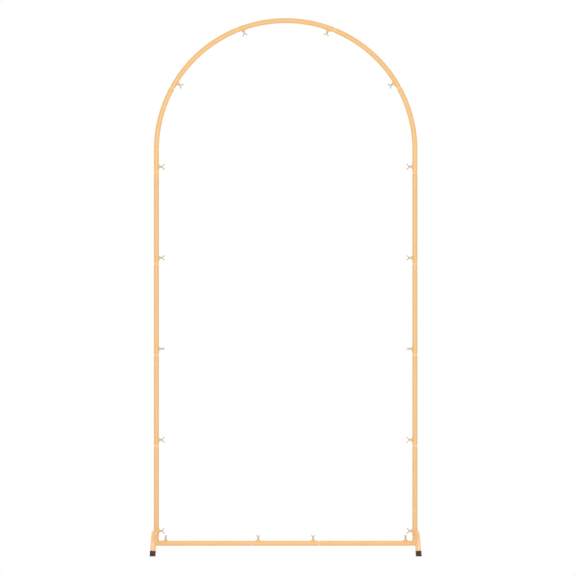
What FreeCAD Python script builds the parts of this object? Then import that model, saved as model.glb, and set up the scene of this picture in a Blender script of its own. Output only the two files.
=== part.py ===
# Free-standing wedding arch of thin gold tubes, in millimetres.
# The arch stands in the XZ plane, +Z up, and the origin is on the floor under its middle.
# Every tube but two has a wide lower end with a screw boss and a narrowed upper end that slides
# into the next tube, so the arch comes apart into short pieces.
import FreeCAD
import Part
import Sketcher
import math
import os

SIZES = {
    "half_width": "480",
    "tube_diameter": "19",
    "tube_wall": "0.8",
    "fit_gap": "0.2",
    "insert_length": "45",
    "neck_length": "5",
    "shoulder_length": "6",
    "screw_setback": "18",
    "section_pitch": "338",
    "arch_tail": "81",
    "bar_height": "49",
    "bar_middle": "240",
    "leg_corner": "28",
    "bar_corner": "17",
    "elbow_neck": "3",
    "elbow_shoulder": "3",
    "boss_sink": "3",
    "boss_foot_length": "28",
    "boss_foot_width": "13.2",
    "boss_waist": "2",
    "boss_waist_length": "13.4",
    "boss_waist_width": "9.8",
    "boss_tip": "7.2",
    "boss_height": "6.5",
    "screw_diameter": "5",
    "thread_gap": "0.1",
    "tip_gap": "0.05",
    "shank_reach": "3.8",
    "hub_base": "6.8",
    "hub_top": "5.6",
    "hub_height": "4.2",
    "wing_span": "23",
    "wing_rise": "11.2",
    "wing_thickness": "2.2",
    "wing_root": "1.7",
    "wing_inset": "1",
    "ear_radius": "2.3",
    "foot_diameter": "19",
    "foot_offset": "8",
    "foot_lean": "4.2",
    "foot_spread": "360",
    "foot_bend": "50",
    "seat_gap": "0.2",
    "cap_diameter": "20.4",
    "cap_height": "20.8",
    "cap_floor": "3",
    "cap_gap": "0.1",
}

LEG_SECTIONS = 4
ARCH_SECTIONS = 5

# How far each wing screw was turned when it was tightened, in degrees from the plane of the arch.
LEG_WING_TURNS = (0, 8, 68, 35, 12)
ARCH_WING_TURNS = (32, 38)
BAR_WING_TURNS = (70, 56)

TUBE = "(Sizes.tube_diameter / 2)"
BORE = f"({TUBE} - Sizes.tube_wall)"
SPIGOT = f"({BORE} - Sizes.fit_gap)"
SPIGOT_BORE = f"({SPIGOT} - Sizes.tube_wall)"
SCREW_HOLE = "(Sizes.screw_diameter / 2 + Sizes.thread_gap)"
FOOT = "(Sizes.foot_diameter / 2)"
FOOT_BORE = f"({FOOT} - Sizes.tube_wall)"

# Heights, and lengths along the centre line of the round top.
LEG_EDGE = "(Sizes.bar_height + Sizes.leg_corner)"
SPRINGING = f"({LEG_EDGE} + {LEG_SECTIONS} * Sizes.section_pitch + Sizes.arch_tail)"
ARCH_LENGTH = "(pi * Sizes.half_width + 2 * Sizes.arch_tail)"
ARCH_PITCH = f"(({ARCH_LENGTH} - 2 * Sizes.screw_setback) / {ARCH_SECTIONS})"
BAR_PITCH = "(Sizes.half_width - Sizes.bar_corner - Sizes.bar_middle / 2)"
RUN_HEIGHT = f"({LEG_EDGE} + {FOOT})"

document = FreeCAD.newDocument("WeddingArch")
sheet = document.addObject("Spreadsheet::Sheet", "Sizes")
for row, (alias, size) in enumerate(SIZES.items(), start=1):
    sheet.set(f"A{row}", alias)
    sheet.set(f"B{row}", size)
    sheet.setAlias(f"B{row}", alias)
document.recompute()

nodes = []


def placed(x="0", y="0", z="0", yaw="0", pitch="0"):
    """Expression for a placement: a point, then a turn about Y and one about Z."""
    return f"placement(vector({x}; {y}; {z}); rotation({yaw}; {pitch}; 0))"


def arc_turn(length):
    """Angle in degrees that a length along the round top spans."""
    return f"({length} / Sizes.half_width * 180 / pi)"


def new_body(label):
    body = document.addObject("PartDesign::Body", label)
    body.Label = label
    return body


def keep(piece, placement):
    """Stand a finished piece in the arch and list it as a node."""
    piece.setExpression("Placement", placement)
    nodes.append(piece)


def sketch_on(body, plane_name, offset=None):
    """Empty sketch on one of the body's own planes, moved by the offset expression."""
    plane = next(item for item in body.Origin.OriginFeatures if item.Role == plane_name)
    sketch = body.newObject("Sketcher::SketchObject", "Sketch")
    sketch.AttachmentSupport = (plane, [""])
    sketch.MapMode = "FlatFace"
    if offset:
        sketch.setExpression("AttachmentOffset", offset)
    return sketch


def dimension(sketch, constraint, expression):
    index = sketch.addConstraint(constraint)
    sketch.setExpression(f"Constraints[{index}]", expression)


def add_circle(sketch, radius, x="0"):
    """Circle on the sketch's horizontal axis."""
    circle = sketch.addGeometry(Part.Circle(FreeCAD.Vector(1, 1, 0), FreeCAD.Vector(0, 0, 1), 1))
    dimension(sketch, Sketcher.Constraint("DistanceX", -1, 1, circle, 3, 1), x)
    dimension(sketch, Sketcher.Constraint("DistanceY", -1, 1, circle, 3, 1), "0")
    dimension(sketch, Sketcher.Constraint("Radius", circle, 1), radius)


def add_oval(sketch, length, width):
    """Ellipse about the sketch's origin, with its length along the horizontal axis."""
    oval = sketch.addGeometry(Part.Ellipse(FreeCAD.Vector(0, 0, 0), 2, 1))
    sketch.exposeInternalGeometry(oval)
    long_axis = oval + 1
    short_axis = oval + 2
    sketch.addConstraint(Sketcher.Constraint("Coincident", oval, 3, -1, 1))
    sketch.addConstraint(Sketcher.Constraint("Horizontal", long_axis))
    dimension(sketch, Sketcher.Constraint("Distance", long_axis, 4), length)
    dimension(sketch, Sketcher.Constraint("Distance", short_axis, 2), width)


def add_arc(sketch, centre, radius, start, end):
    """Arc that runs anticlockwise between two angles in degrees."""
    circle = Part.Circle(centre, FreeCAD.Vector(0, 0, 1), radius)
    return sketch.addGeometry(Part.ArcOfCircle(circle, math.radians(start), math.radians(end)))


def add_line(sketch, start, end):
    return sketch.addGeometry(Part.LineSegment(FreeCAD.Vector(*start, 0), FreeCAD.Vector(*end, 0)))


def add_outline(sketch, corners):
    """Closed outline of straight lines, each corner dimensioned from the origin."""
    count = len(corners)
    start = [FreeCAD.Vector(math.cos(turn), math.sin(turn), 0)
             for turn in (math.tau * i / count for i in range(count))]
    for i in range(count):
        sketch.addGeometry(Part.LineSegment(start[i], start[(i + 1) % count]))
    for i, (x, y) in enumerate(corners):
        sketch.addConstraint(Sketcher.Constraint("Coincident", i - 1 if i else count - 1, 2, i, 1))
        dimension(sketch, Sketcher.Constraint("DistanceX", -1, 1, i, 1, 1), x)
        dimension(sketch, Sketcher.Constraint("DistanceY", -1, 1, i, 1, 1), y)


def turned(body, kind, sketch, axis, angle="360", upwards=False):
    """Revolution or Groove of a sketch about one of the sketch's own axes."""
    feature = body.newObject(f"PartDesign::{kind}", kind)
    feature.Profile = sketch
    feature.ReferenceAxis = (sketch, [axis])
    feature.setExpression("Angle", angle)
    feature.Reversed = upwards
    return feature


def across_boss(body, stand, reach):
    """Empty sketch square to a boss, at a reach from the tube's axis, with its X axis along the tube."""
    return sketch_on(body, "XY_Plane", f"{stand} * {placed(x=f'-({reach})', pitch='90')}")


def add_boss(body, stand):
    """Flared boss on the tube's inner side: a long oval foot sunk in the tube, drawn up to a round tip.

    stand is the place on the tube's axis. What the foot leaves in the bore is cut away later.
    """
    foot = across_boss(body, stand, f"{TUBE} - Sizes.boss_sink")
    add_oval(foot, "Sizes.boss_foot_length", "Sizes.boss_foot_width")
    waist = across_boss(body, stand, f"{TUBE} + Sizes.boss_waist")
    add_oval(waist, "Sizes.boss_waist_length", "Sizes.boss_waist_width")
    tip = across_boss(body, stand, f"{TUBE} + Sizes.boss_height")
    add_circle(tip, "Sizes.boss_tip / 2")
    boss = body.newObject("PartDesign::AdditiveLoft", "Boss")
    boss.Profile = foot
    boss.Sections = [(waist, [""]), (tip, [""])]


def add_screw_hole(body, stand):
    """Hole from the bore out through the tube's wall and the boss."""
    section = across_boss(body, stand, f"{TUBE} / 2")
    add_circle(section, SCREW_HOLE)
    hole = body.newObject("PartDesign::Pocket", "ScrewHole")
    hole.Profile = section
    hole.setExpression("Length", f"{TUBE} + Sizes.boss_height")


def straight_profile(radius, narrow_radius, pitch):
    """Half outline of a straight tube with a wide lower end and a narrowed upper end."""
    shoulder = f"{pitch} - Sizes.neck_length - Sizes.shoulder_length"
    neck = f"{pitch} - Sizes.neck_length"
    end = f"{pitch} + Sizes.insert_length"
    return [("0", "0"), (radius, "0"), (radius, shoulder), (narrow_radius, neck),
            (narrow_radius, end), ("0", end)]


def straight_tube(label, pitch, placement, both_wide=False):
    """Straight tube along its own Z axis, with its screw bosses on its -X side."""
    body = new_body(label)
    setbacks = ["Sizes.screw_setback"]
    if both_wide:
        setbacks.append(f"{pitch} - Sizes.screw_setback")
    for kind, wide, narrow in (("Revolution", TUBE, SPIGOT), ("Groove", BORE, SPIGOT_BORE)):
        sketch = sketch_on(body, "XZ_Plane")
        if both_wide:
            add_outline(sketch, [("0", "0"), (wide, "0"), (wide, pitch), ("0", pitch)])
        else:
            add_outline(sketch, straight_profile(wide, narrow, pitch))
        turned(body, kind, sketch, "V_Axis")
        if kind == "Revolution":
            for setback in setbacks:
                add_boss(body, placed(z=setback))
    for setback in setbacks:
        add_screw_hole(body, placed(z=setback))
    keep(body, placement)


def arc_disc(body, radius, turn):
    """Sketch of the tube's round section, at an angle up the round top."""
    sketch = sketch_on(body, "XY_Plane", placed(pitch=f"-{turn}"))
    add_circle(sketch, radius, "Sizes.half_width")
    return sketch


def arch_tube(label, curve_length, placement, tail=False, both_wide=False):
    """Curved tube about its own Y axis, from its own X axis upwards, with bosses towards the centre."""
    body = new_body(label)
    full = arc_turn(curve_length)
    shoulder = f"({full} - {arc_turn('(Sizes.neck_length + Sizes.shoulder_length)')})"
    neck = f"({full} - {arc_turn('Sizes.neck_length')})"
    spigot = arc_turn("(Sizes.neck_length + Sizes.insert_length)")
    setback = arc_turn("Sizes.screw_setback")
    turns = [setback]
    if both_wide:
        turns.append(f"({full} - {setback})")
    bosses = [f"{placed(pitch=f'-{turn}')} * {placed(x='Sizes.half_width')}" for turn in turns]
    if tail:
        bosses = [placed(x="Sizes.half_width", z="Sizes.screw_setback - Sizes.arch_tail")]
    for add, wide, narrow in ((True, TUBE, SPIGOT), (False, BORE, SPIGOT_BORE)):
        turn_kind = "Revolution" if add else "Groove"
        if both_wide:
            turned(body, turn_kind, arc_disc(body, wide, full), "V_Axis", full)
        else:
            lower = arc_disc(body, wide, shoulder)
            upper = arc_disc(body, narrow, neck)
            turned(body, turn_kind, lower, "V_Axis", shoulder)
            taper_kind = "AdditiveLoft" if add else "SubtractiveLoft"
            taper = body.newObject(f"PartDesign::{taper_kind}", "Taper")
            taper.Profile = lower
            taper.Sections = [(upper, [""])]
            turned(body, turn_kind, upper, "V_Axis", spigot, upwards=True)
        if tail:
            straight = body.newObject("PartDesign::Pad" if add else "PartDesign::Pocket", "Tail")
            straight.Profile = arc_disc(body, wide, "0")
            straight.setExpression("Length", "Sizes.arch_tail")
            straight.Reversed = add
        if add:
            for boss in bosses:
                add_boss(body, boss)
    for boss in bosses:
        add_screw_hole(body, boss)
    keep(body, placement)


def make_tubes():
    for side, yaw, sign in (("right", "0", ""), ("left", "180", "-")):
        for i in range(LEG_SECTIONS):
            edge = f"{LEG_EDGE} + {i} * Sizes.section_pitch"
            straight_tube(f"{side}_leg_tube_{i + 1}", "Sizes.section_pitch",
                          placed(x=f"{sign}Sizes.half_width", z=edge, yaw=yaw))
        arch_tube(f"{side}_arch_tube_lower", f"({ARCH_PITCH} - Sizes.arch_tail)",
                  placed(z=SPRINGING, yaw=yaw), tail=True)
        upper_start = arc_turn(f"({ARCH_PITCH} - Sizes.arch_tail)")
        arch_tube(f"{side}_arch_tube_upper", ARCH_PITCH,
                  placed(z=SPRINGING, yaw=yaw, pitch=f"-{upper_start}"))
        bar_yaw = "180" if side == "right" else "0"
        straight_tube(f"{side}_bar_tube", BAR_PITCH,
                      placed(x=f"{sign}(Sizes.half_width - Sizes.bar_corner)", z="Sizes.bar_height",
                             yaw=bar_yaw, pitch="90"))
    top_start = arc_turn(f"(2 * {ARCH_PITCH} - Sizes.arch_tail)")
    arch_tube("top_arch_tube", f"({ARCH_LENGTH} - 4 * {ARCH_PITCH})",
              placed(z=SPRINGING, pitch=f"-{top_start}"), both_wide=True)
    straight_tube("middle_bar_tube", "Sizes.bar_middle",
                  placed(x="-Sizes.bar_middle / 2", z="Sizes.bar_height", pitch="90"), both_wide=True)


def corner_sweep(body, kind, radius, rise, reach):
    """Mitred corner of two plain tubes: one comes down its Z axis, one leaves along its -X axis."""
    path = sketch_on(body, "XZ_Plane")
    down = add_line(path, (0, 1), (0, 0))
    along = add_line(path, (0, 0), (-1, 0))
    path.addConstraint(Sketcher.Constraint("Coincident", down, 2, along, 1))
    dimension(path, Sketcher.Constraint("DistanceX", -1, 1, down, 1, 1), "0")
    dimension(path, Sketcher.Constraint("DistanceY", -1, 1, down, 1, 1), rise)
    dimension(path, Sketcher.Constraint("DistanceX", -1, 1, down, 2, 1), "0")
    dimension(path, Sketcher.Constraint("DistanceY", -1, 1, down, 2, 1), "0")
    dimension(path, Sketcher.Constraint("DistanceX", -1, 1, along, 2, -1), f"-{reach}")
    dimension(path, Sketcher.Constraint("DistanceY", -1, 1, along, 2, 1), "0")
    ring = sketch_on(body, "XY_Plane", placed(z=rise))
    add_circle(ring, radius)
    corner = body.newObject(f"PartDesign::{kind}", "Corner")
    corner.Profile = ring
    corner.Spine = (path, [""])
    corner.Transition = "Right corner"


def corner_arm(body, kind, wide, narrow, start, axis):
    """Drawn-in end of an arm of the corner, turned about one of the sketch's axes."""
    neck = f"{start} + Sizes.elbow_shoulder"
    end = f"{neck} + Sizes.elbow_neck + Sizes.insert_length"
    sketch = sketch_on(body, "XZ_Plane")
    outline = [("0", start), (wide, start), (narrow, neck), (narrow, end), ("0", end)]
    if axis == "H_Axis":
        outline = [(f"-({along})", across) for across, along in outline]
    add_outline(sketch, outline)
    turned(body, kind, sketch, axis)


def make_elbow(label, yaw, sign):
    """Two short tubes mitred and welded to an L, each drawn in where it plugs in."""
    body = new_body(label)
    drawn = "(Sizes.elbow_shoulder + Sizes.elbow_neck)"
    rise = f"(Sizes.leg_corner - {drawn})"
    reach = f"(Sizes.bar_corner - {drawn})"
    for add, wide, narrow in ((True, TUBE, SPIGOT), (False, BORE, SPIGOT_BORE)):
        corner_sweep(body, "AdditivePipe" if add else "SubtractivePipe", wide, rise, reach)
        for start, axis in ((rise, "V_Axis"), (reach, "H_Axis")):
            corner_arm(body, "Revolution" if add else "Groove", wide, narrow, start, axis)
    keep(body, placed(x=f"{sign}Sizes.half_width", z="Sizes.bar_height", yaw=yaw))


def foot_sweep(name, radius, drop):
    """Solid rod of the given radius along the foot's upside-down U, in its own YZ plane."""
    body = new_body(name)
    path = sketch_on(body, "YZ_Plane")
    half = sheet.foot_spread / 2
    bend = sheet.foot_bend
    low = -2 * bend
    near = add_line(path, (-half, low), (-half, -bend))
    near_bend = add_arc(path, FreeCAD.Vector(bend - half, -bend, 0), bend, 90, 180)
    run = add_line(path, (bend - half, 0), (half - bend, 0))
    far_bend = add_arc(path, FreeCAD.Vector(half - bend, -bend, 0), bend, 0, 90)
    far = add_line(path, (half, -bend), (half, low))
    path.addConstraint(Sketcher.Constraint("Tangent", near, 2, near_bend, 2))
    path.addConstraint(Sketcher.Constraint("Tangent", near_bend, 1, run, 1))
    path.addConstraint(Sketcher.Constraint("Tangent", run, 2, far_bend, 2))
    path.addConstraint(Sketcher.Constraint("Tangent", far_bend, 1, far, 1))
    path.addConstraint(Sketcher.Constraint("Vertical", near))
    path.addConstraint(Sketcher.Constraint("Horizontal", run))
    path.addConstraint(Sketcher.Constraint("Vertical", far))
    dimension(path, Sketcher.Constraint("DistanceX", -1, 1, near, 1, -half), "-Sizes.foot_spread / 2")
    dimension(path, Sketcher.Constraint("DistanceX", -1, 1, far, 2, half), "Sizes.foot_spread / 2")
    dimension(path, Sketcher.Constraint("DistanceY", -1, 1, near, 1, low), f"-{drop}")
    dimension(path, Sketcher.Constraint("DistanceY", -1, 1, far, 2, low), f"-{drop}")
    dimension(path, Sketcher.Constraint("DistanceY", -1, 1, run, 1, 1), "0")
    dimension(path, Sketcher.Constraint("Radius", near_bend, bend), "Sizes.foot_bend")
    dimension(path, Sketcher.Constraint("Radius", far_bend, bend), "Sizes.foot_bend")
    end = sketch_on(body, "XY_Plane", placed(y="-Sizes.foot_spread / 2", z=f"-{drop}"))
    add_circle(end, radius)
    pipe = body.newObject("PartDesign::AdditivePipe", "Pipe")
    pipe.Profile = end
    pipe.Spine = (path, [""])
    return body


def leg_shape(name, radius):
    """Upright rod where the leg passes the foot, in the foot's leaning frame."""
    rod = document.addObject("Part::Cylinder", name)
    rod.setExpression("Radius", radius)
    rod.setExpression("Height", "2 * (Sizes.foot_diameter + Sizes.tube_diameter)")
    lean = "Sizes.foot_lean"
    rod.setExpression("Placement",
                      f"placement(vector(0; 0; 0); rotation(0; {lean}; 0)) * "
                      "placement(vector(-Sizes.foot_offset; 0; -Sizes.foot_diameter - Sizes.tube_diameter); "
                      "rotation(0; 0; 0))")
    return rod


def cut(name, base, tool):
    result = document.addObject("Part::Cut", name)
    result.Base = base
    result.Tool = tool
    return result


def make_foot(label, yaw, sign):
    """Bent tube, pressed in by the leg to a saddle whose wall is as thick as the tube's."""
    drop = f"({RUN_HEIGHT} - Sizes.cap_floor) / cos(Sizes.foot_lean)"
    pressed = f"{TUBE} + Sizes.seat_gap"
    skin = cut(f"{label}_skin", foot_sweep(f"{label}_rod", FOOT, f"({drop})"),
               leg_shape(f"{label}_press", pressed))
    hollow = cut(f"{label}_hollow", foot_sweep(f"{label}_core", FOOT_BORE, f"({drop})"),
                 leg_shape(f"{label}_lining", f"{pressed} + Sizes.tube_wall"))
    foot = cut(label, skin, hollow)
    foot.Label = label
    keep(foot, placed(x=f"{sign}(Sizes.half_width + Sizes.foot_offset)", z=RUN_HEIGHT,
                      yaw=yaw, pitch="-Sizes.foot_lean"))


def make_cap(label, yaw, side_sign, depth_sign):
    """Moulded cup pushed onto the end of a foot, its sole cut level with the floor."""
    body = new_body(label)
    outer = "Sizes.cap_diameter / 2"
    inner = f"({FOOT} + Sizes.cap_gap)"
    rim = "Sizes.cap_height"
    bevel = f"({outer} - {inner}) / 2"
    sketch = sketch_on(body, "XZ_Plane")
    add_outline(sketch, [("0", "-Sizes.cap_floor"), (outer, "-Sizes.cap_floor"),
                         (outer, f"{rim} - {bevel}"), (f"{outer} - {bevel}", rim),
                         (inner, rim), (inner, "Sizes.cap_floor"), ("0", "Sizes.cap_floor")])
    turned(body, "Revolution", sketch, "V_Axis")
    sole = sketch_on(body, "XY_Plane", placed(pitch="Sizes.foot_lean"))
    add_circle(sole, "Sizes.cap_diameter")
    level = body.newObject("PartDesign::Pocket", "Sole")
    level.Profile = sole
    level.setExpression("Length", "2 * Sizes.cap_floor")
    limb = f"(Sizes.half_width + Sizes.foot_offset + {RUN_HEIGHT} * tan(Sizes.foot_lean))"
    keep(body, placed(x=f"{side_sign}{limb}", y=f"{depth_sign}Sizes.foot_spread / 2",
                      yaw=yaw, pitch="-Sizes.foot_lean"))


def add_wing(body, hub):
    """Flat tapered ear with round ends, leaning out of the hub."""
    root = FreeCAD.Vector(sheet.hub_top / 2 - sheet.wing_inset, sheet.tube_diameter, 0)
    tip = root + FreeCAD.Vector(1, 1, 0) * (sheet.wing_rise - sheet.hub_height)
    root_radius = sheet.wing_root
    tip_radius = sheet.ear_radius
    along = tip - root
    heading = math.atan2(along.y, along.x)
    spread = math.acos((root_radius - tip_radius) / along.Length)
    sketch = sketch_on(body, "XZ_Plane")
    up = FreeCAD.Vector(0, 0, 1)
    low, high = heading - spread, heading + spread
    rim = sketch.addGeometry(Part.ArcOfCircle(Part.Circle(tip, up, tip_radius), low, high))
    heel = sketch.addGeometry(Part.ArcOfCircle(Part.Circle(root, up, root_radius), high, low + math.tau))

    def on_circle(centre, radius, turn):
        return centre + FreeCAD.Vector(radius * math.cos(turn), radius * math.sin(turn), 0)

    back = sketch.addGeometry(Part.LineSegment(on_circle(tip, tip_radius, high),
                                               on_circle(root, root_radius, high)))
    front = sketch.addGeometry(Part.LineSegment(on_circle(root, root_radius, low),
                                                on_circle(tip, tip_radius, low)))
    sketch.addConstraint(Sketcher.Constraint("Tangent", rim, 2, back, 1))
    sketch.addConstraint(Sketcher.Constraint("Tangent", back, 2, heel, 1))
    sketch.addConstraint(Sketcher.Constraint("Tangent", heel, 2, front, 1))
    sketch.addConstraint(Sketcher.Constraint("Tangent", front, 2, rim, 1))
    dimension(sketch, Sketcher.Constraint("Radius", rim, tip_radius), "Sizes.ear_radius")
    dimension(sketch, Sketcher.Constraint("Radius", heel, root_radius), "Sizes.wing_root")
    dimension(sketch, Sketcher.Constraint("DistanceX", -1, 1, heel, 3, root.x),
              "Sizes.hub_top / 2 - Sizes.wing_inset")
    dimension(sketch, Sketcher.Constraint("DistanceY", -1, 1, heel, 3, root.y),
              f"{hub} + Sizes.hub_height / 2")
    dimension(sketch, Sketcher.Constraint("DistanceX", -1, 1, rim, 3, tip.x),
              "Sizes.wing_span / 2 - Sizes.ear_radius")
    dimension(sketch, Sketcher.Constraint("DistanceY", -1, 1, rim, 3, tip.y),
              f"{hub} + Sizes.wing_rise - Sizes.ear_radius")
    wing = body.newObject("PartDesign::Pad", "Wing")
    wing.Profile = sketch
    wing.setExpression("Length", "Sizes.wing_thickness")
    wing.Midplane = True
    return wing


def make_wing_screw(label, placement, wing_turn):
    """Screw along its own Z axis, measured from the axis of the tube that it holds."""
    body = new_body(label)
    hub = f"{TUBE} + Sizes.boss_height + Sizes.shank_reach"
    tip = f"{SPIGOT} + Sizes.tip_gap"
    shank = "Sizes.screw_diameter / 2"
    sketch = sketch_on(body, "XZ_Plane")
    add_outline(sketch, [("0", tip), (shank, tip), (shank, hub), ("Sizes.hub_base / 2", hub),
                         ("Sizes.hub_top / 2", f"{hub} + Sizes.hub_height"),
                         ("0", f"{hub} + Sizes.hub_height")])
    turned(body, "Revolution", sketch, "V_Axis")
    wing = add_wing(body, hub)
    mirror = body.newObject("PartDesign::Mirrored", "OtherWing")
    mirror.Originals = [wing]
    side = next(item for item in body.Origin.OriginFeatures if item.Role == "YZ_Plane")
    mirror.MirrorPlane = (side, [""])
    body.Tip = mirror
    keep(body, f"{placement} * {placed(yaw=str(wing_turn))}")


def make_wing_screws():
    for side, yaw, sign in (("right", "0", ""), ("left", "180", "-")):
        for i, turn in enumerate(LEG_WING_TURNS):
            height = f"{LEG_EDGE} + Sizes.screw_setback + {i} * Sizes.section_pitch"
            make_wing_screw(f"{side}_leg_wing_screw_{i + 1}",
                            placed(x=f"{sign}Sizes.half_width", z=height, yaw=yaw, pitch="-90"), turn)
        for i, turn in enumerate(ARCH_WING_TURNS):
            length = f"({i + 1} * {ARCH_PITCH} + Sizes.screw_setback - Sizes.arch_tail)"
            angle = arc_turn(length)
            make_wing_screw(f"{side}_arch_wing_screw_{i + 1}",
                            placed(x=f"{sign}Sizes.half_width * cos({angle})",
                                   z=f"{SPRINGING} + Sizes.half_width * sin({angle})",
                                   yaw=yaw, pitch=f"-90 - {angle}"), turn)
        outer = "(Sizes.half_width - Sizes.bar_corner - Sizes.screw_setback)"
        inner = "(Sizes.bar_middle / 2 - Sizes.screw_setback)"
        for i, (reach, turn) in enumerate(zip((outer, inner), BAR_WING_TURNS)):
            make_wing_screw(f"{side}_bar_wing_screw_{i + 1}",
                            placed(x=f"{sign}{reach}", z="Sizes.bar_height"), turn)


def make_corners_and_feet():
    for side, yaw, sign in (("right", "0", ""), ("left", "180", "-")):
        make_elbow(f"{side}_corner_elbow", yaw, sign)
        make_foot(f"{side}_foot", yaw, sign)
        make_cap(f"{side}_foot_cap_front", yaw, sign, "-")
        make_cap(f"{side}_foot_cap_back", yaw, sign, "")


def check_and_write():
    document.recompute()
    for item in document.Objects:
        if "Invalid" in item.State or "Error" in item.State:
            raise RuntimeError(f"{item.Label} did not build: {item.State}")
    for node in nodes:
        if node.Shape.isNull() or not node.Shape.isValid() or len(node.Shape.Solids) != 1:
            raise RuntimeError(f"{node.Label} is not one valid solid")
    os.makedirs("parts", exist_ok=True)
    for node in nodes:
        node.Shape.exportStep(f"parts/{node.Label}.step")
        print(f"{node.Label}: {node.Shape.Volume / 1000:.2f} cm3")
    print(f"{len(nodes)} nodes, {sum(node.Shape.Volume for node in nodes) / 1000:.1f} cm3")


make_tubes()
make_corners_and_feet()
make_wing_screws()
check_and_write()
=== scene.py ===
# The looks of a free-standing gold wedding arch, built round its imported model. Metres, +Z up.
# The arch stands in the XZ plane, facing -Y, with the origin on the floor under its middle.
import bmesh
import bpy
import math
from mathutils import Matrix, Vector


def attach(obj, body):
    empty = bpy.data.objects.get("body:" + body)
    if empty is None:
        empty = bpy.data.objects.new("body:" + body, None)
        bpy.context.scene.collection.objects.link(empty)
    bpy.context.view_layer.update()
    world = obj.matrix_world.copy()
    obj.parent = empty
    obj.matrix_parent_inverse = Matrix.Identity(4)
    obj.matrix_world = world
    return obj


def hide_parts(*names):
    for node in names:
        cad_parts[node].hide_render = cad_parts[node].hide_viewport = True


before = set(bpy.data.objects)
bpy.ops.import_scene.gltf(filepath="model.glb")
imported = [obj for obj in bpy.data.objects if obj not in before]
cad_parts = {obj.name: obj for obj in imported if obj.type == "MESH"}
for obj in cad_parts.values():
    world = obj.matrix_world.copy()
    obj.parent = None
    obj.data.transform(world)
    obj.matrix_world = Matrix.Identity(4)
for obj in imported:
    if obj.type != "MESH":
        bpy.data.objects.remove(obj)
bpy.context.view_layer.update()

# The two feet are steel tubes bent to an upside-down U that reaches out in front and behind. The leg has
# pressed a saddle into the middle of each. They are powder coated in satin gold with an orange peel and
# fine metal flakes, and a paler, smoother tone is painted on their outer sides and near the floor as a
# highlight.
FOOT_TONES = (0.890, 0.530, 0.220), (0.842, 0.486, 0.194)
# The paler tone painted on the feet as a highlight.
PAINTED_HIGHLIGHT_TONE = (0.925, 0.660, 0.405)
FLAKE_TONE = (1.0, 0.76, 0.45)
FLAKES_PER_METRE = 3600.0
FLAKE_COVER = 0.42
FLAKE_POLISH = 0.14
# How much smoother the coat is made where a highlight is painted.
HIGHLIGHT_POLISH = 0.06
COAT_SPECULAR = 0.2


def add_node(tree, kind, sockets, **settings):
    """One shader node, whose sockets get a plain value or another node's output."""
    node = tree.nodes.new(f"ShaderNode{kind}")
    for name, value in settings.items():
        setattr(node, name, value)
    for name, value in sockets.items():
        if isinstance(value, bpy.types.NodeSocket):
            tree.links.new(value, node.inputs[name])
        else:
            node.inputs[name].default_value = value
    return node


def count(tree, operation, *values):
    """Output of one Math node."""
    return add_node(tree, "Math", dict(enumerate(values)), operation=operation).outputs[0]


def noise(tree, place, per_metre, detail):
    """Cloudy value from 0 to 1, so many clouds a metre."""
    return add_node(tree, "TexNoise", {"Vector": place, "Scale": per_metre, "Detail": detail}).outputs["Fac"]


def ramp(tree, value, start, end, low=0.0, high=1.0, soft=False):
    """low where value is at start, high where it is at end, and a straight or soft rise between."""
    ends = {"Value": value, "From Min": start, "From Max": end, "To Min": low, "To Max": high}
    rise = "SMOOTHSTEP" if soft else "LINEAR"
    return add_node(tree, "MapRange", ends, interpolation_type=rise).outputs[0]


def blend_colours(tree, amount, plain, changed):
    """The plain colour at amount 0, the changed one at 1."""
    mix = add_node(tree, "Mix", {"Factor": amount}, data_type="RGBA")
    for socket, colour in ((mix.inputs[6], plain), (mix.inputs[7], changed)):
        if isinstance(colour, bpy.types.NodeSocket):
            tree.links.new(colour, socket)
        else:
            socket.default_value = (*colour, 1.0)
    return mix.outputs[2]


def new_finish(name):
    """Material with one Principled shader, with its tree and the place on the object."""
    finish = bpy.data.materials.new(name)
    finish.use_nodes = True
    tree = finish.node_tree
    place = add_node(tree, "TexCoord", {}).outputs["Object"]
    return finish, tree, tree.nodes["Principled BSDF"], place


def roughen(tree, shader, height, strength, depth):
    """Fine relief, too small for the mesh."""
    relief = add_node(tree, "Bump", {"Strength": strength, "Distance": depth, "Height": height})
    tree.links.new(relief.outputs[0], shader.inputs["Normal"])


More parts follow.
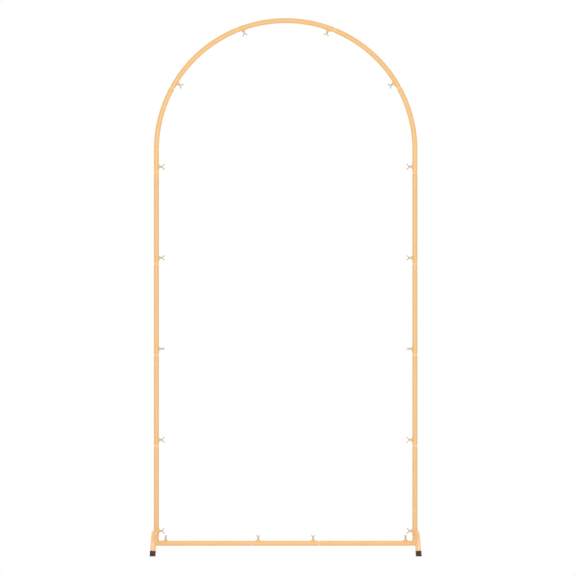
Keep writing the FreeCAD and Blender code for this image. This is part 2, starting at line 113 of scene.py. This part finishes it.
def gold_coat(name, light, deep, tone_marks=None):
    """Satin gold powder coat. The last argument lists places painted in another tone, a paler one as a
    highlight and a darker one on boss tips: how much, in which tone, how much smoother.
    """
    finish, tree, shader, place = new_finish(name)
    tone = blend_colours(tree, noise(tree, place, per_metre=11.0, detail=3.0), light, deep)
    flakes = add_node(tree, "TexVoronoi", {"Vector": place, "Scale": FLAKES_PER_METRE})
    flake = add_node(tree, "SeparateColor", {"Color": flakes.outputs["Color"]}).outputs[0]
    shine = ramp(tree, flake, start=0.76, end=1.0)
    colour = blend_colours(tree, count(tree, "MULTIPLY", shine, FLAKE_COVER), tone, FLAKE_TONE)
    specks = noise(tree, place, per_metre=90.0, detail=4.0)
    roughness = ramp(tree, specks, start=0.3, end=0.7, low=0.42, high=0.56)
    roughness = count(tree, "SUBTRACT", roughness, count(tree, "MULTIPLY", shine, FLAKE_POLISH))
    # Mix in the listed marks: paler tones painted as highlights, and darker tones on the boss tips.
    if tone_marks:
        patchy = ramp(tree, specks, start=0.35, end=0.6, low=0.55)
        for amount, mark_tone, polish in tone_marks(tree, place):
            marked = count(tree, "MULTIPLY", amount, patchy)
            colour = blend_colours(tree, marked, colour, mark_tone)
            roughness = count(tree, "SUBTRACT", roughness, count(tree, "MULTIPLY", marked, polish))
    tree.links.new(colour, shader.inputs["Base Color"])
    tree.links.new(roughness, shader.inputs["Roughness"])
    tree.links.new(ramp(tree, shine, start=0.0, end=1.0, low=0.34, high=0.85), shader.inputs["Metallic"])
    shader.inputs["Specular IOR Level"].default_value = COAT_SPECULAR
    roughen(tree, shader, noise(tree, place, per_metre=620.0, detail=2.0), strength=0.3, depth=0.0002)
    return finish


def coat_nodes(finish, *nodes):
    """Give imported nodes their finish."""
    for node in nodes:
        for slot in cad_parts[node].material_slots:
            slot.material = finish


def foot_painted_highlight(tree, place):
    """Painted highlight: a paler tone on a foot's outer side, and a weaker one on the rest of it near the
    caps.
    """
    at = add_node(tree, "SeparateXYZ", {"Vector": place})
    # Painted highlight on the outer side, and a weaker one low down near the caps.
    outer = ramp(tree, count(tree, "ABSOLUTE", at.outputs["X"]), start=0.4885, end=0.4935, soft=True)
    low_down = ramp(tree, at.outputs["Z"], start=0.074, end=0.026, high=0.6, soft=True)
    return [(count(tree, "MAXIMUM", outer, low_down), PAINTED_HIGHLIGHT_TONE, HIGHLIGHT_POLISH)]


foot_gold = gold_coat("foot_gold", *FOOT_TONES, foot_painted_highlight)
coat_nodes(foot_gold, "right_foot", "left_foot")

# A weld bead runs over the saddle and down both sides of the leg, where the foot is fixed to it.
# It was laid in short overlapping ripples, and the gold coat covers it.
SIDES = (("right", 1), ("left", -1))
LEG_X = 0.480
FOOT_X = 0.488
RUN_Z = 0.0865
SEAM_RADIUS = 0.0096
TUBE_RADIUS = 0.0095
FOOT_BEAD = 0.0012
BEAD_SIDES = 10
RIPPLE = 0.0011
RINGS_A_RIPPLE = 6
RIPPLE_LOW = 0.86
RIPPLE_SWELL = 0.16
TAPER_RINGS = 7
FIRST_RING = 0.3
BEAD_END = math.radians(84)
OVER_STEPS = 90
UNDER_STEPS = 12
NOT_ALONG = Vector((0.31, 0.17, 0.94))


def evenly(points, step):
    """Points a step apart along a line of points."""
    spaced = [points[0]]
    left = step
    for start, end in zip(points, points[1:]):
        run = (end - start).length
        gone = 0.0
        while run - gone >= left:
            gone += left
            spaced.append(start.lerp(end, gone / run))
            left = step
        left -= run - gone
    return spaced


def lay_bead(bm, points, radius, closed=False):
    """Weld bead along a line of points, in ripples that overlap like scales."""
    step = RIPPLE / RINGS_A_RIPPLE
    line = evenly(points, step)
    total = len(line)
    rings = []
    for i, centre in enumerate(line):
        ahead = line[(i + 1) % total] if closed else line[min(i + 1, total - 1)]
        behind = line[i - 1] if closed or i else line[0]
        heading = (ahead - behind).normalized()
        side = heading.cross(NOT_ALONG).normalized()
        rise = heading.cross(side)
        size = radius * (RIPPLE_LOW + RIPPLE_SWELL * math.sqrt((i * step / RIPPLE) % 1.0))
        if not closed:
            nearer_end = min(i + FIRST_RING, total - i - (1 - FIRST_RING))
            size *= math.sqrt(min(1.0, nearer_end / TAPER_RINGS))
        rings.append([bm.verts.new(centre + size * (math.cos(turn) * side + math.sin(turn) * rise))
                      for turn in (math.tau * k / BEAD_SIDES for k in range(BEAD_SIDES))])
    pairs = list(zip(rings, rings[1:]))
    if closed:
        pairs.append((rings[-1], rings[0]))
    else:
        bm.faces.new(reversed(rings[0]))
        bm.faces.new(rings[-1])
    for one, other in pairs:
        join_rings(bm, one, other)
    for face in bm.faces:
        face.smooth = True


def join_rings(bm, one, other):
    """Band of faces between two rings with as many points each."""
    around = len(one)
    for k in range(around):
        after = (k + 1) % around
        face = bm.faces.new((one[k], one[after], other[after], other[k]))
        face.smooth = True


def place_mesh(name, mesh, stand=None):
    """Object of a mesh that rides with the arch."""
    piece = bpy.data.objects.new(name, mesh)
    bpy.context.scene.collection.objects.link(piece)
    if stand:
        piece.matrix_world = stand
    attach(piece, "root")
    return piece


def to_mesh(name, bm, finish):
    """Mesh of a bmesh, in one finish."""
    mesh = bpy.data.meshes.new(name)
    bm.to_mesh(mesh)
    bm.free()
    mesh.materials.append(finish)
    return mesh


def saddle_point(turn, level):
    """Where the leg's skin meets the foot's, at a turn round the leg, above or below the run."""
    x = LEG_X + SEAM_RADIUS * math.cos(turn)
    rise = math.sqrt(max(0.0, TUBE_RADIUS ** 2 - (x - FOOT_X) ** 2))
    return Vector((x, SEAM_RADIUS * math.sin(turn), RUN_Z + level * rise))


widest = math.acos((FOOT_X - TUBE_RADIUS - LEG_X) / SEAM_RADIUS)
under = widest - BEAD_END
seam = [saddle_point(-BEAD_END - under * i / UNDER_STEPS, -1) for i in range(UNDER_STEPS)]
seam += [saddle_point(-widest + 2 * widest * i / OVER_STEPS, 1) for i in range(OVER_STEPS + 1)]
seam += [saddle_point(widest - under * i / UNDER_STEPS, -1) for i in range(1, UNDER_STEPS + 1)]
for side, sign in SIDES:
    bm = bmesh.new()
    lay_bead(bm, [Vector((sign * p.x, sign * p.y, p.z)) for p in seam], FOOT_BEAD)
    place_mesh(f"{side}_foot_weld", to_mesh(f"{side}_foot_weld", bm, foot_gold))

# Each foot ends in a moulded cup of dark brown plastic, pushed on to keep the floor and the tube apart.
# It has a rounded lip, a shallow groove above its sole, and a fine matt grain from the mould.
CAP_RADIUS = 0.0102
CAP_BORE = 0.0096
CAP_HEIGHT = 0.0208
CAP_FLOOR = 0.003
CAP_SIDES = 72
SOLE_ROUND = 0.0007
LIP_ROUND = 0.00028
LIP_CHAMFER = 0.0003
GROOVE = ((0.0030, 0.0), (0.0034, 0.00028), (0.0039, 0.00034), (0.0044, 0.00028), (0.0048, 0.0))
STEP_UNDER_LIP = ((0.0165, 0.00022), (0.0175, 0.00022), (0.0181, 0.0))
PLASTIC_TONES = (0.056, 0.024, 0.014), (0.094, 0.044, 0.028)
PLASTIC_SPECULAR = 0.28
FOOT_LEAN = math.radians(4.2)
FOOT_SPREAD = 0.180


def moulded_plastic():
    """Matt brown plastic with the grain of its mould."""
    finish, tree, shader, place = new_finish("brown_plastic_matt")
    clouds = noise(tree, place, per_metre=130.0, detail=5.0)
    tree.links.new(blend_colours(tree, clouds, *PLASTIC_TONES), shader.inputs["Base Color"])
    tree.links.new(ramp(tree, clouds, start=0.0, end=1.0, low=0.45, high=0.68), shader.inputs["Roughness"])
    shader.inputs["Specular IOR Level"].default_value = PLASTIC_SPECULAR
    roughen(tree, shader, noise(tree, place, per_metre=2600.0, detail=3.0), strength=0.5, depth=0.00012)
    return finish


def turn_profile(bm, profile, around):
    """Closed surface of a profile that starts and ends on the Z axis."""
    rings = []
    for radius, height in profile:
        if radius == 0:
            rings.append([bm.verts.new((0, 0, height))])
        else:
            rings.append([bm.verts.new((radius * math.cos(turn), radius * math.sin(turn), height))
                          for turn in (math.tau * k / around for k in range(around))])
    for low, high in zip(rings, rings[1:]):
        if len(low) == len(high):
            join_rings(bm, low, high)
            continue
        for k in range(around):
            after = (k + 1) % around
            if len(low) == 1:
                face = bm.faces.new((low[0], high[after], high[k]))
            else:
                face = bm.faces.new((low[k], low[after], high[0]))
            face.smooth = True


def rounded(corner_from, corner, corner_to, radius, steps=6):
    """Points of a small round at a profile's corner."""
    middle = Vector(corner)
    start = middle + (Vector(corner_from) - middle).normalized() * radius
    end = middle + (Vector(corner_to) - middle).normalized() * radius
    points = []
    for i in range(steps + 1):
        t = i / steps
        points.append(tuple((1 - t) ** 2 * start + 2 * t * (1 - t) * middle + t ** 2 * end))
    return points


plastic = moulded_plastic()
cap_x = FOOT_X + RUN_Z * math.tan(FOOT_LEAN)
cup = [(0.0, 0.0)]
cup += rounded((0, 0), (CAP_RADIUS, 0), (CAP_RADIUS, CAP_HEIGHT), SOLE_ROUND)
cup += [(CAP_RADIUS - depth, height) for height, depth in GROOVE + STEP_UNDER_LIP]
cup += rounded((CAP_RADIUS, 0), (CAP_RADIUS, CAP_HEIGHT), (CAP_BORE, CAP_HEIGHT), LIP_ROUND)
cup += [(CAP_BORE, CAP_HEIGHT - LIP_CHAMFER), (CAP_BORE, CAP_FLOOR), (0.0, CAP_FLOOR)]
for side, sign in SIDES:
    for end, way in (("front", -1), ("back", 1)):
        bm = bmesh.new()
        turn_profile(bm, cup, CAP_SIDES)
        for vert in bm.verts:
            if vert.co.z < CAP_FLOOR / 2:
                vert.co.z -= vert.co.x * math.tan(FOOT_LEAN)
        stand = Matrix.Translation((sign * cap_x, way * FOOT_SPREAD, 0))
        if sign < 0:
            stand = stand @ Matrix.Rotation(math.pi, 4, "Z")
        bm.transform(stand @ Matrix.Rotation(-FOOT_LEAN, 4, "Y"))
        cap = place_mesh(f"{side}_{end}_cap", to_mesh(f"{side}_{end}_cap", bm, plastic))
        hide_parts(f"{side}_foot_cap_{end}")

# Each corner elbow is two short gold tubes, sawn at 45 degrees and welded to an L. Its ends are drawn in
# and go up inside the leg and along inside the bar. A fine dressed bead shows round the mitre.
BAR_Z = 0.049
MITRE_BEAD = 0.0006
# The elbows get a lighter copy of the gold than the legs: painted light, for how the light falls on them.
CORNER_TONES = (0.920, 0.563, 0.248), (0.869, 0.516, 0.220)
SEAM_STEPS = 240
corner_gold = gold_coat("corner_gold", *CORNER_TONES)
coat_nodes(corner_gold, "right_corner_elbow", "left_corner_elbow")
mitre = [Vector((TUBE_RADIUS * math.cos(turn), TUBE_RADIUS * math.sin(turn), -TUBE_RADIUS * math.cos(turn)))
         for turn in (math.tau * k / SEAM_STEPS for k in range(SEAM_STEPS + 1))]
for side, sign in SIDES:
    bm = bmesh.new()
    line = [Vector((sign * (LEG_X + p.x), sign * p.y, BAR_Z + p.z)) for p in mitre]
    lay_bead(bm, line, MITRE_BEAD, closed=True)
    place_mesh(f"{side}_mitre_weld", to_mesh(f"{side}_mitre_weld", bm, corner_gold))

# Each leg is four straight steel tubes. The upper end of each is drawn in to a neck that plugs into the
# next, where a paler tone is painted as a highlight. The tips of the bosses are given a darker, duller tone.
LEG_TUBES = 4
# The legs get a darker copy of the gold than the bar, round top and elbows: painted shade, for how the light
# falls on upright tubes.
LEG_TONES = (0.852, 0.540, 0.252), (0.804, 0.499, 0.226)
# The paler tone painted on the necks as a highlight.
NECK_HIGHLIGHT_TONE = (0.92, 0.61, 0.31)
NECK_FROM = 0.00935
NECK_FULL = 0.00885
# A darker, duller tone on the tips of the bosses.
TIP_DARK_TONE = (0.60, 0.46, 0.245)
TIP_FROM = 0.0110
TIP_FULL = 0.0160
LEG_TIP_DARKENING = 0.35


def distance(tree, place):
    """How far a place lies from the origin."""
    return add_node(tree, "VectorMath", {"Vector": place}, operation="LENGTH").outputs["Value"]


def tube_tone_marks(tree, across, deep, tip_darkening):
    """Painted highlight on the neck and a darker tone on the boss tip of a tube, told apart by the distance
    to its axis.
    """
    flat = add_node(tree, "CombineXYZ", {"X": across, "Y": deep})
    reach = distance(tree, flat.outputs[0])
    neck = ramp(tree, reach, start=NECK_FROM, end=NECK_FULL, soft=True)
    tip = ramp(tree, reach, start=TIP_FROM, end=TIP_FULL, high=tip_darkening, soft=True)
    return [(neck, NECK_HIGHLIGHT_TONE, HIGHLIGHT_POLISH), (tip, TIP_DARK_TONE, 0.0)]


def leg_tone_marks(tree, place):
    """The legs' axes are upright, at either side."""
    at = add_node(tree, "SeparateXYZ", {"Vector": place})
    across = count(tree, "SUBTRACT", count(tree, "ABSOLUTE", at.outputs["X"]), LEG_X)
    return tube_tone_marks(tree, across, at.outputs["Y"], LEG_TIP_DARKENING)


leg_gold = gold_coat("leg_gold", *LEG_TONES, leg_tone_marks)
for side, sign in SIDES:
    coat_nodes(leg_gold, *(f"{side}_leg_tube_{i}" for i in range(1, LEG_TUBES + 1)))

# The bar along the floor is three gold tubes between the elbows: a long one at each side, and a short
# middle one that both plug into.
# The bar gets a lighter copy of the gold than the legs: painted light, for how the light falls on a level
# tube.
BAR_TONES = (0.934, 0.577, 0.260), (0.886, 0.529, 0.230)
BAR_TIP_DARKENING = 0.9


def bar_tone_marks(tree, place):
    """The bar's axis is level, a little above the floor."""
    at = add_node(tree, "SeparateXYZ", {"Vector": place})
    across = count(tree, "SUBTRACT", at.outputs["Z"], BAR_Z)
    return tube_tone_marks(tree, across, at.outputs["Y"], BAR_TIP_DARKENING)


bar_gold = gold_coat("bar_gold", *BAR_TONES, bar_tone_marks)
coat_nodes(bar_gold, "right_bar_tube", "left_bar_tube", "middle_bar_tube")

# The round top is five gold tubes, rolled to a half circle as wide as the legs stand apart. The lowest
# two keep a straight tail that carries on the legs, and all plug into each other like the legs' tubes.
SPRING_Z = 1.510
# The round top gets a lighter copy of the gold than the legs: painted light, for how the light falls on it.
ARCH_TONES = (0.901, 0.565, 0.254), (0.849, 0.522, 0.228)
ARCH_TIP_DARKENING = 0.9


def arch_tone_marks(tree, place):
    """The round top's axis is a half circle, and upright below its spring."""
    at = add_node(tree, "SeparateXYZ", {"Vector": place})
    above = count(tree, "MAXIMUM", count(tree, "SUBTRACT", at.outputs["Z"], SPRING_Z), 0.0)
    flat = add_node(tree, "CombineXYZ", {"X": at.outputs["X"], "Y": above})
    across = count(tree, "SUBTRACT", distance(tree, flat.outputs[0]), LEG_X)
    return tube_tone_marks(tree, across, at.outputs["Y"], ARCH_TIP_DARKENING)


arch_gold = gold_coat("arch_gold", *ARCH_TONES, arch_tone_marks)
coat_nodes(arch_gold, "top_arch_tube")
for side, sign in SIDES:
    coat_nodes(arch_gold, f"{side}_arch_tube_lower", f"{side}_arch_tube_upper")

# Each wide end carries a flared boss on its inner side: a long oval foot, drawn up to a round tip for the
# screw. It is welded on, and the bead round its foot dips with the tube's round skin at both flanks.
BOSS_HALF_LENGTH = 0.00888
BOSS_HALF_WIDTH = 0.00526
LENGTHENS = 1.70
WIDENS = 0.46
SEEK_ROUNDS = 8
BOSS_BEAD = 0.0007
LEG_EDGE = 0.077
LEG_PITCH = 0.338
LEG_SCREWS = 5
ARCH_SCREWS = 2
ARCH_TUBES = 5
SETBACK = 0.018
ARCH_TAIL = 0.081
BAR_CORNER = 0.017
BAR_MIDDLE = 0.240
ARCH_PITCH = (math.pi * LEG_X + 2 * ARCH_TAIL - 2 * SETBACK) / ARCH_TUBES


def boss_seam(turn):
    """Where the flare meets the tube. It is longer and wider the further it lies down the flank."""
    across = 0.0
    sunk = 0.0
    for _ in range(SEEK_ROUNDS):
        across = (BOSS_HALF_WIDTH + WIDENS * sunk) * math.sin(turn)
        sunk = TUBE_RADIUS - math.sqrt(TUBE_RADIUS ** 2 - across ** 2)
    return Vector(((BOSS_HALF_LENGTH + LENGTHENS * sunk) * math.cos(turn), across, TUBE_RADIUS - sunk))


# Where each boss stands: its Z axis leaves the tube's axis, and its X axis follows the tube.
boss_stands = {}
for side, sign in SIDES:
    face = Matrix.Rotation(0 if sign > 0 else math.pi, 4, "Z")
    for i in range(LEG_SCREWS):
        stand = Matrix.Translation((sign * LEG_X, 0, LEG_EDGE + SETBACK + i * LEG_PITCH)) @ face
        boss_stands[f"{side}_leg", i + 1] = stand @ Matrix.Rotation(-math.pi / 2, 4, "Y")
    for i in range(ARCH_SCREWS):
        turn = ((i + 1) * ARCH_PITCH + SETBACK - ARCH_TAIL) / LEG_X
        stand = Matrix.Translation((sign * LEG_X * math.cos(turn), 0, SPRING_Z + LEG_X * math.sin(turn)))
        boss_stands[f"{side}_arch", i + 1] = stand @ face @ Matrix.Rotation(-math.pi / 2 - turn, 4, "Y")
    for i, reach in enumerate((LEG_X - BAR_CORNER - SETBACK, BAR_MIDDLE / 2 - SETBACK)):
        boss_stands[f"{side}_bar", i + 1] = Matrix.Translation((sign * reach, 0, BAR_Z))

bm = bmesh.new()
oval = [boss_seam(math.tau * k / SEAM_STEPS) for k in range(SEAM_STEPS + 1)]
lay_bead(bm, oval, BOSS_BEAD, closed=True)
boss_bead = to_mesh("boss_bead", bm, gold_coat("bead_gold", *LEG_TONES))
for (where, number), stand in boss_stands.items():
    place_mesh(f"{where}_boss_weld_{number}", boss_bead, stand)

# The wing screws are zinc plated steel with a warm passivated tint: a rolled thread and a cast head with
# two ears. Each was turned by hand, so the ears stand at odd angles, here in degrees.
WING_TURNS = {"leg": (0, 8, 68, 35, 12), "arch": (32, 38), "bar": (70, 56)}
ZINC_TONES = (0.545, 0.470, 0.330), (0.665, 0.560, 0.365)
ZINC_METAL = 0.9
SHANK_TIP = 0.00855
HEAD_FROM = 0.0198
HEAD_HEIGHT = 0.0042
HUB_RADIUS = 0.0034
HUB_TOP_RADIUS = 0.0028
HUB_SIDES = 64
HUB_FOOT_ROUND = 0.0004
HUB_TOP_ROUND = 0.0010
THREAD_RADIUS = 0.0025
THREAD_DEPTH = 0.00038
THREAD_PITCH = 0.0008
THREAD_SIDES = 40
RINGS_A_PITCH = 6
TIP_CHAMFER = 0.0006
INTO_HEAD = 0.0006
EAR_FOOT = Vector((0.0008, 0, HEAD_FROM + 0.0020))
EAR_TIP = Vector((0.0092, 0, 0.0287))
EAR_HALF_WIDTH = 0.0018
EAR_BROADENS = 0.0005
EAR_HALF_THICKNESS = 0.0014
EAR_THINS = 0.0004
EAR_BOW = 0.0005
EAR_ROUND = 0.0023
EAR_END_THICKNESS = 0.4
EAR_EDGE_POWER = 0.8
EAR_FACE_POWER = 0.55
EAR_SIDES = 28
EAR_RINGS = 22
EAR_END_RINGS = 8


def zinc_plate():
    """Zinc plating with a slightly cloudy tint."""
    finish, tree, shader, place = new_finish("zinc_plate")
    clouds = noise(tree, place, per_metre=160.0, detail=4.0)
    tree.links.new(blend_colours(tree, clouds, *ZINC_TONES), shader.inputs["Base Color"])
    tree.links.new(ramp(tree, clouds, start=0.0, end=1.0, low=0.28, high=0.5), shader.inputs["Roughness"])
    shader.inputs["Metallic"].default_value = ZINC_METAL
    roughen(tree, shader, noise(tree, place, per_metre=1500.0, detail=3.0), strength=0.25, depth=0.0001)
    return finish


def rolled_thread(bm):
    """Shank with a helical thread, closed at its tip and inside the head."""
    length = HEAD_FROM + INTO_HEAD - SHANK_TIP
    steps = round(length / THREAD_PITCH * RINGS_A_PITCH)
    rings = []
    for i in range(steps + 1):
        z = SHANK_TIP + length * i / steps
        rings.append([])
        for k in range(THREAD_SIDES):
            turn = math.tau * k / THREAD_SIDES
            wave = ((z - SHANK_TIP) / THREAD_PITCH - k / THREAD_SIDES) % 1.0
            depth = max(THREAD_DEPTH * abs(2 * wave - 1), TIP_CHAMFER - (z - SHANK_TIP))
            radius = THREAD_RADIUS - depth
            rings[-1].append(bm.verts.new((radius * math.cos(turn), radius * math.sin(turn), z)))
    for low, high in zip(rings, rings[1:]):
        join_rings(bm, low, high)
    bm.faces.new(reversed(rings[0]))
    bm.faces.new(rings[-1])


def squared(wave, power):
    """A sine or cosine pushed outwards, so that its circle becomes a rounded oblong."""
    return math.copysign(abs(wave) ** power, wave)


def ear(bm, sign):
    """One ear of the head: it leaves the hub thick and narrow, and ends thin, broad and round."""
    along = (EAR_TIP - EAR_FOOT).normalized()
    across = Vector((-along.z, 0, along.x))
    length = (EAR_TIP - EAR_FOOT).length
    runs = [length * i / EAR_RINGS for i in range(EAR_RINGS + 1)]
    runs += [length + EAR_ROUND * math.sin(math.pi / 2 * i / EAR_END_RINGS) for i in range(1, EAR_END_RINGS)]
    rings = []
    for run in runs:
        t = min(run / length, 1.0)
        past_tip = max(0.0, run - length) / EAR_ROUND
        close = math.sqrt(max(0.0, 1 - past_tip ** 2))
        broad = EAR_HALF_WIDTH + EAR_BROADENS * t ** 2
        thick = EAR_HALF_THICKNESS - EAR_THINS * t
        thick *= EAR_END_THICKNESS + (1 - EAR_END_THICKNESS) * close
        middle = EAR_FOOT + along * run + across * (-EAR_BOW * math.sin(math.pi * t))
        rings.append([])
        for k in range(EAR_SIDES):
            turn = math.tau * k / EAR_SIDES
            point = middle + across * broad * close * squared(math.cos(turn), EAR_EDGE_POWER)
            point.y += thick * squared(math.sin(turn), EAR_FACE_POWER)
            rings[-1].append(bm.verts.new((sign * point.x, point.y, point.z)))
    for one, other in zip(rings, rings[1:]):
        join_rings(bm, one, other)
    bm.faces.new(rings[0])
    bm.faces.new(rings[-1])


def cast_head():
    """Hub and both ears, grown together as a casting is."""
    bm = bmesh.new()
    top = HEAD_FROM + HEAD_HEIGHT
    hub = [(0.0, HEAD_FROM)]
    hub += rounded((0, HEAD_FROM), (HUB_RADIUS, HEAD_FROM), (HUB_TOP_RADIUS, top), HUB_FOOT_ROUND)
    hub += rounded((HUB_RADIUS, HEAD_FROM), (HUB_TOP_RADIUS, top), (0, top), HUB_TOP_ROUND)
    hub += [(0.0, top)]
    turn_profile(bm, hub, HUB_SIDES)
    ear(bm, 1)
    ear(bm, -1)
    bmesh.ops.recalc_face_normals(bm, faces=bm.faces)
    mesh = bpy.data.meshes.new("head_parts")
    bm.to_mesh(mesh)
    bm.free()
    parts = bpy.data.objects.new("head_parts", mesh)
    bpy.context.scene.collection.objects.link(parts)
    grow = parts.modifiers.new("grow", "REMESH")
    grow.mode = "VOXEL"
    grow.voxel_size = 0.00022
    soften = parts.modifiers.new("soften", "SMOOTH")
    soften.iterations = 6
    soften.factor = 0.5
    lighten = parts.modifiers.new("lighten", "DECIMATE")
    lighten.ratio = 0.3
    bpy.context.view_layer.update()
    grown = bpy.data.meshes.new_from_object(parts.evaluated_get(bpy.context.evaluated_depsgraph_get()))
    bpy.data.objects.remove(parts)
    return grown


bm = bmesh.new()
bm.from_mesh(cast_head())
rolled_thread(bm)
for face in bm.faces:
    face.smooth = True
screw_mesh = to_mesh("wing_screw", bm, zinc_plate())
for (where, number), stand in boss_stands.items():
    part = where.split("_")[1]
    turn = Matrix.Rotation(math.radians(WING_TURNS[part][number - 1]), 4, "Z")
    screw = place_mesh(f"{where}_threaded_screw_{number}", screw_mesh, stand @ turn)
    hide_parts(f"{where}_wing_screw_{number}")

# The arch stands on a plain white floor in a white room, lit by broad soft lamps. The floor keeps the
# arch's shadow and fades into the room at its rim.
FLOOR_RADIUS = 4.0
FLOOR_SIDES = 128
FLOOR_TONE = (0.96, 0.96, 0.96, 1.0)
WHITE = (1.0, 1.0, 1.0, 1.0)
ROOM_LIGHT = 0.9
LAMPS_FACE = Vector((0, 0, 1))
LAMPS = (("key", (-2.0, -6.0, 1.2), 4.0, 3.2, 31.0),
         ("fill", (2.4, -5.8, 0.6), 4.0, 1.9, 28.0),
         ("top", (0.0, 0.5, 5.0), 4.0, 4.0, 7.0),
         ("rear", (1.5, 4.6, 2.4), 4.5, 4.5, 26.0))


def seen_white(tree):
    """1 for what the eye, a polished surface or clear glass sees, 0 for plain light."""
    rays = add_node(tree, "LightPath", {}).outputs
    seen = count(tree, "MAXIMUM", rays["Is Camera Ray"], rays["Is Glossy Ray"])
    return count(tree, "MAXIMUM", seen, rays["Is Transmission Ray"])


room = bpy.data.worlds.new("white_room")
bpy.context.scene.world = room
room.use_nodes = True
tree = room.node_tree
back = tree.nodes["Background"]
back.inputs["Color"].default_value = WHITE
level = ramp(tree, seen_white(tree), start=0.0, end=1.0, low=ROOM_LIGHT)
tree.links.new(level, back.inputs["Strength"])

pale = bpy.data.materials.new("pale_floor")
pale.use_nodes = True
tree = pale.node_tree
tree.nodes.clear()
place = add_node(tree, "TexCoord", {}).outputs["Object"]
glow = ramp(tree, distance(tree, place), start=0.8, end=3.2, low=0.6, soft=True)
matt = add_node(tree, "BsdfDiffuse", {"Color": FLOOR_TONE})
white = add_node(tree, "Emission", {"Color": WHITE, "Strength": 1.0})
both = add_node(tree, "MixShader", {0: count(tree, "MULTIPLY", glow, seen_white(tree)),
                                    1: matt.outputs[0], 2: white.outputs[0]})
add_node(tree, "OutputMaterial", {"Surface": both.outputs[0]})
bm = bmesh.new()
bmesh.ops.create_circle(bm, cap_ends=True, segments=FLOOR_SIDES, radius=FLOOR_RADIUS)
floor = bpy.data.objects.new("floor", to_mesh("floor", bm, pale))
bpy.context.scene.collection.objects.link(floor)

for name, spot, width, height, power in LAMPS:
    lamp = bpy.data.lights.new(name, "AREA")
    lamp.shape = "RECTANGLE"
    lamp.size = width
    lamp.size_y = height
    lamp.energy = power
    stand = bpy.data.objects.new(name, lamp)
    bpy.context.scene.collection.objects.link(stand)
    stand.location = spot
    stand.rotation_euler = (LAMPS_FACE - Vector(spot)).to_track_quat("-Z", "Y").to_euler()

# The camera looks at the arch from far away and just above the floor, through a long lens, because the
# photograph shows the front and back caps of a foot as one, and no floor. It stands no farther off,
# because views from other sides would then be blank.
VIEW_DISTANCE = 100.0
VIEW_WIDTH = 2.139
CAMERA_RISE = 0.03
AIM = Vector((0.0087, 0, 0.9968))
lens = bpy.data.cameras.new("camera")
lens.lens = lens.sensor_width * VIEW_DISTANCE / VIEW_WIDTH
lens.clip_end = VIEW_DISTANCE + 2 * FLOOR_RADIUS
camera = bpy.data.objects.new("camera", lens)
bpy.context.scene.collection.objects.link(camera)
camera.location = (AIM.x, -VIEW_DISTANCE, CAMERA_RISE)
camera.rotation_euler = (AIM - camera.location).to_track_quat("-Z", "Y").to_euler()
bpy.context.scene.camera = camera
bpy.context.scene.view_settings.view_transform = "Standard"
